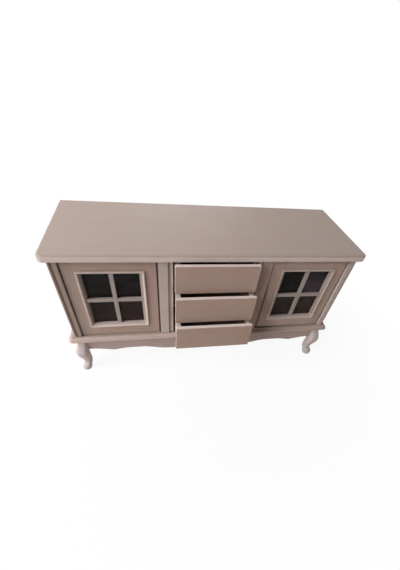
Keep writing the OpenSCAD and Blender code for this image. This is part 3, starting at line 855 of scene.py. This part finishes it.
class SIDEBOARD_OT_windows(bpy.types.Operator):
    """Makes the raised moulding round each window and the crossed bars in it"""

    bl_idname = "sideboard.windows"
    bl_label = "Window mouldings and bars"

    def execute(self, context):
        for side in SIDES:
            self.run_moulding(side)
            self.cross_bars(side)
        return {"FINISHED"}

    def opening(self, side):
        """The opening that the door's stiles and rails leave."""
        start = "door_" + side + "_"
        left, right = ("outer_stile", "inner_stile") if side == "left" else ("inner_stile", "outer_stile")
        low = Vector((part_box(start + left)[1].x, 0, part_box(start + "bottom_rail")[1].z))
        high = Vector((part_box(start + right)[0].x, 0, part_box(start + "top_rail")[0].z))
        return low, high

    def run_moulding(self, side):
        """A mitred strip laid over the door's face, with a flat crest and a steep fall to the glass."""
        low, high = self.opening(side)
        box_low, box_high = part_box("window_moulding_" + side)
        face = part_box("door_" + side + "_top_rail")[0].y
        # how far the strip lies over the door's face, and the parts of its width from the outside in
        lap = 1.4 * MM
        rounding, crest, lip, run = 0.1 * MM, 0.4 * MM, 0.15 * MM, 0.8 * MM
        # the lip's dip below the crest, how proud the falls end, and the step behind the opening's edge
        dip, proud, step = 0.06 * MM, 0.07 * MM, 0.03 * MM
        root, shoulder = face + 0.05 * MM, box_low.y + rounding
        middle = (low + high) / 2
        middle.y = (root + shoulder) / 2
        size = Vector((high.x - low.x + 2 * lap, root - shoulder, high.z - low.z + 2 * lap))
        shape = bmesh.new()
        bmesh.ops.create_cube(
            shape, size=1, matrix=Matrix.Translation(middle) @ Matrix.Diagonal(size).to_4x4()
        )
        front = min(shape.faces, key=lambda f: f.calc_center_median().y)
        back = max(shape.faces, key=lambda f: f.calc_center_median().y)
        # across the strip: a rounded shoulder, the crest, a fall to the opening and a steep fall inside it
        fall = face - proud - box_low.y
        depth = box_high.y - proud - (box_low.y + fall)
        for width, rise in (
            (rounding, rounding), (crest, 0), (lip, -dip),
            (lap - rounding - crest - lip, dip - fall), (run, -depth),
        ):
            bmesh.ops.inset_region(
                shape, faces=[front], use_boundary=True, use_even_offset=True, thickness=width, depth=rise
            )
        # behind: the strip fills the opening down to the glass
        for width, rise in ((lap + step, 0), (0, box_high.y - 0.02 * MM - root), (run - step, 0)):
            bmesh.ops.inset_region(
                shape, faces=[back], use_boundary=True, use_even_offset=True, thickness=width, depth=rise
            )
        rims = list(front.edges) + list(back.edges)
        bmesh.ops.delete(shape, geom=[front, back], context="FACES_ONLY")
        bmesh.ops.bridge_loops(shape, edges=rims)
        # the strip is broader over the stiles and the bottom rail, and narrower over the top rail: each
        # row has an edge of the opening, the way out from it, and how far the two sides of the strip go
        inward = 1 if side == "left" else -1
        for axis, edge, sign, out_move, in_move in (
            ("x", high.x if side == "left" else low.x, inward, 0.5 * MM, 0.3 * MM),
            ("x", low.x if side == "left" else high.x, -inward, 0.3 * MM, 0.4 * MM),
            ("z", low.z, -1, 0.7 * MM, 0.7 * MM), ("z", high.z, 1, -0.75 * MM, 0),
        ):
            outside = [v for v in shape.verts if sign * (getattr(v.co, axis) - edge) > 0.1 * MM]
            inside = [
                v for v in shape.verts
                if -1.0 * MM < sign * (getattr(v.co, axis) - edge) < -0.1 * MM
            ]
            move = Vector((sign, 0, 0)) if axis == "x" else Vector((0, 0, sign))
            bmesh.ops.translate(shape, verts=outside, vec=move * out_move)
            bmesh.ops.translate(shape, verts=inside, vec=move * in_move)
        self.hang(shape, "window_frame_" + side, "window_moulding_" + side, side, moulding_paint(side))

    def cross_bars(self, side):
        """The crossed bars, run on until their ends lie in the moulding."""
        node = "glazing_bars_" + side
        low, high = self.opening(side)
        box_low, box_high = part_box(node)
        shape = joined(node)
        for axis in (0, 2):
            for end, goal in ((box_low, low), (box_high, high)):
                verts = [v for v in shape.verts if abs(v.co[axis] - end[axis]) < 0.01 * MM]
                move = Vector((0, 0, 0))
                move[axis] = goal[axis] - end[axis]
                bmesh.ops.translate(shape, verts=verts, vec=move)
        # the level bar sits a little below the middle
        level = [v for v in shape.verts if low.z + 5 * MM < v.co.z < high.z - 5 * MM]
        bmesh.ops.translate(shape, verts=level, vec=Vector((0, 0, -0.3 * MM)))
        self.hang(shape, "cross_bars_" + side, node, side, bar_paint())

    def hang(self, shape, name, node, side, paint):
        """Gives the door a finished piece in place of one of its CAD nodes."""
        piece = new_piece(shape, name, paint)
        ease(piece, "eased edge", 0.06 * MM)
        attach(piece, "door_" + side)
        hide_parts(node)


class SIDEBOARD_OT_panes(bpy.types.Operator):
    """Glazes both doors"""

    bl_idname = "sideboard.panes"
    bl_label = "Panes"

    def execute(self, context):
        for side in SIDES:
            coat("glass_" + side, pane_glass(side, PANE_REFLECTIONS[side]))
        return {"FINISHED"}


class SIDEBOARD_OT_hinges(bpy.types.Operator):
    """Gives the hinge pins their steel"""

    bl_idname = "sideboard.hinges"
    bl_label = "Hinge pins"

    def execute(self, context):
        for side in SIDES:
            coat("hinge_pins_" + side, drawn_wire())
        return {"FINISHED"}


class SIDEBOARD_OT_drawers(bpy.types.Operator):
    """Paints the drawer fronts and washes the drawer boxes and runners"""

    bl_idname = "sideboard.drawers"
    bl_label = "Drawers"

    def execute(self, context):
        paint = context.scene.sideboard_paint
        lengthways = washed_wood("washed_lime_along_Y", paint.box_colour, "Y")
        # the drawer bottoms and backs are dark as painted shade, for the shadow inside the drawers
        dark_lengthways = washed_wood("shade_dark_lime_along_Y", paint.inside_shade_colour, "Y")
        dark_crossways = washed_wood("shade_dark_lime_along_X", paint.inside_shade_colour, "X")
        for level in DRAWERS:
            start = level + "_drawer_"
            finish_nodes([start + "front"], drawer_paint(level))
            for side in SIDES:
                # the wash stops at the top edge: the inner face is dark, as painted shade
                node = start + "side_" + side
                low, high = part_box(node)
                inner = high.x if side == "left" else low.x
                shading = (paint.inside_shade_colour, 1.0, (("X", inner, 0.05 * MM, 0.15 * MM),))
                wood = washed_wood("washed_lime_" + node, paint.box_colour, "Y", touches=(shading,))
                finish_nodes([node], wood)
                finish_nodes(["runner_" + side + "_" + level], lengthways)
            finish_nodes([start + "bottom"], dark_lengthways)
            finish_nodes([start + "back"], dark_crossways)
        return {"FINISHED"}


class SIDEBOARD_OT_stage(bpy.types.Operator):
    """Sets up the camera, the pale floor and the soft lights"""

    bl_idname = "sideboard.stage"
    bl_label = "Stage"

    def execute(self, context):
        scene = context.scene
        look = scene.sideboard_stage
        scene.view_settings.view_transform = "Standard"
        self.aim_camera(scene)
        self.lay_floor()
        self.light_room(scene, look)
        return {"FINISHED"}

    def aim_camera(self, scene):
        """A close wide view from the front, left of the middle and well above the top."""
        lens = bpy.data.cameras.new("camera")
        lens.sensor_width = 36
        lens.lens = 17.42
        lens.shift_x = -0.0244
        lens.shift_y = 0.0902
        lens.clip_start = 0.005
        lens.clip_end = 20
        camera = bpy.data.objects.new("camera", lens)
        scene.collection.objects.link(camera)
        front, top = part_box("side_panel_left")[0].y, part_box("top_board")[1].z
        sideways, ahead, above = CAMERA_FROM
        camera.location = (sideways, front + ahead, top + above)
        camera.rotation_euler = [math.radians(a) for a in CAMERA_TURN]
        scene.camera = camera

    def lay_floor(self):
        """A wide floor just below the feet."""
        level = CAD_BOX[0][2] - 0.02 * MM
        shape = bmesh.new()
        bmesh.ops.create_grid(shape, x_segments=1, y_segments=1, size=8)
        bmesh.ops.translate(shape, verts=shape.verts[:], vec=Vector((0, 0, level)))
        floor = new_piece(shape, "floor", white_floor())

    def light_room(self, scene, look):
        """A large window on the front left, five weaker soft lights all round, and an even room."""
        world = bpy.data.worlds.new("room")
        scene.world = world
        world.use_nodes = True
        tree = world.node_tree
        tree.nodes.clear()
        out = tree.nodes.new("ShaderNodeOutputWorld")
        room = add(tree, "ShaderNodeBackground", Color=ROOM_TINT, Strength=look.room_strength)
        white = add(tree, "ShaderNodeBackground", Color=rgba(WHITE), Strength=1.0)
        ray = add(tree, "ShaderNodeLightPath")
        seen = add(
            tree, "ShaderNodeMath", {"operation": "MAXIMUM"},
            _0=ray.outputs["Is Camera Ray"], _1=ray.outputs["Is Transmission Ray"],
        )
        seen = add(
            tree, "ShaderNodeMath", {"operation": "MAXIMUM"},
            _0=seen.outputs["Value"], _1=ray.outputs["Is Glossy Ray"],
        )
        choice = add(
            tree, "ShaderNodeMixShader", Fac=seen.outputs["Value"],
            _1=room.outputs["Background"], _2=white.outputs["Background"],
        )
        tree.links.new(choice.outputs["Shader"], out.inputs["Surface"])
        middle = Vector((0, 0, 45 * MM))
        # each lamp's power, colour, size, bearing from the front, height angle and distance; the bearing
        # grows to the right, angles are in degrees and lengths in metres
        for name, power, colour, size, bearing, height, distance in (
            ("window light", look.window_power, WHITE, 0.5, -60, 30, 1.2),
            ("near light", look.near_power, SKY_TINT, 0.1, -80, 20, 0.45),
            ("high light", look.high_power, WHITE, 0.15, -80, 45, 0.5),
            ("back light", look.back_power, WHITE, 0.25, -150, 50, 0.45),
            ("side light", look.side_power, WHITE, 0.3, 92, 5, 0.7),
            ("rear light", look.rear_power, WHITE, 0.3, 175, 8, 0.7),
        ):
            light = bpy.data.lights.new(name, "AREA")
            light.color = colour
            light.energy = power
            light.size = size
            lamp = bpy.data.objects.new(name, light)
            turn = Matrix.Rotation(math.radians(bearing), 4, "Z")
            tilt = Matrix.Rotation(math.radians(-height), 4, "X")
            place = middle + turn @ tilt @ Vector((0, -distance, 0))
            lamp.location = place
            lamp.visible_camera = False
            lamp.rotation_mode = "QUATERNION"
            lamp.rotation_quaternion = (middle - place).to_track_quat("-Z", "Y")
            scene.collection.objects.link(lamp)


class SIDEBOARD_PT_panel(bpy.types.Panel):
    """Sizes, colours and the steps that finish the sideboard"""

    bl_idname = "SIDEBOARD_PT_panel"
    bl_label = "Sideboard"
    bl_space_type = "VIEW_3D"
    bl_region_type = "UI"
    bl_category = "Sideboard"

    def draw(self, context):
        layout = self.layout
        for group in (
            context.scene.sideboard_paint,
            context.scene.sideboard_glass,
            context.scene.sideboard_stage,
        ):
            box = layout.box()
            for name in group.__annotations__:
                box.prop(group, name)
        for step in STEPS:
            layout.operator(step.bl_idname)


STEPS = (
    SIDEBOARD_OT_stage,
    SIDEBOARD_OT_boards,
    SIDEBOARD_OT_carcass,
    SIDEBOARD_OT_stiles,
    SIDEBOARD_OT_aprons,
    SIDEBOARD_OT_legs,
    SIDEBOARD_OT_doors,
    SIDEBOARD_OT_windows,
    SIDEBOARD_OT_panes,
    SIDEBOARD_OT_hinges,
    SIDEBOARD_OT_drawers,
)
GROUPS = (SideboardPaint, SideboardGlass, SideboardStage)


def register():
    for kind in GROUPS + STEPS + (SIDEBOARD_PT_panel,):
        bpy.utils.register_class(kind)
    bpy.types.Scene.sideboard_paint = PointerProperty(type=SideboardPaint)
    bpy.types.Scene.sideboard_glass = PointerProperty(type=SideboardGlass)
    bpy.types.Scene.sideboard_stage = PointerProperty(type=SideboardStage)


def unregister():
    del bpy.types.Scene.sideboard_paint
    del bpy.types.Scene.sideboard_glass
    del bpy.types.Scene.sideboard_stage
    for kind in reversed(GROUPS + STEPS + (SIDEBOARD_PT_panel,)):
        bpy.utils.unregister_class(kind)


def main():
    register()
    bpy.ops.sideboard.stage()
    bpy.ops.sideboard.boards()
    bpy.ops.sideboard.carcass()
    bpy.ops.sideboard.stiles()
    bpy.ops.sideboard.aprons()
    bpy.ops.sideboard.legs()
    bpy.ops.sideboard.doors()
    bpy.ops.sideboard.windows()
    bpy.ops.sideboard.panes()
    bpy.ops.sideboard.hinges()
    bpy.ops.sideboard.drawers()


if __name__ == "__main__":
    main()
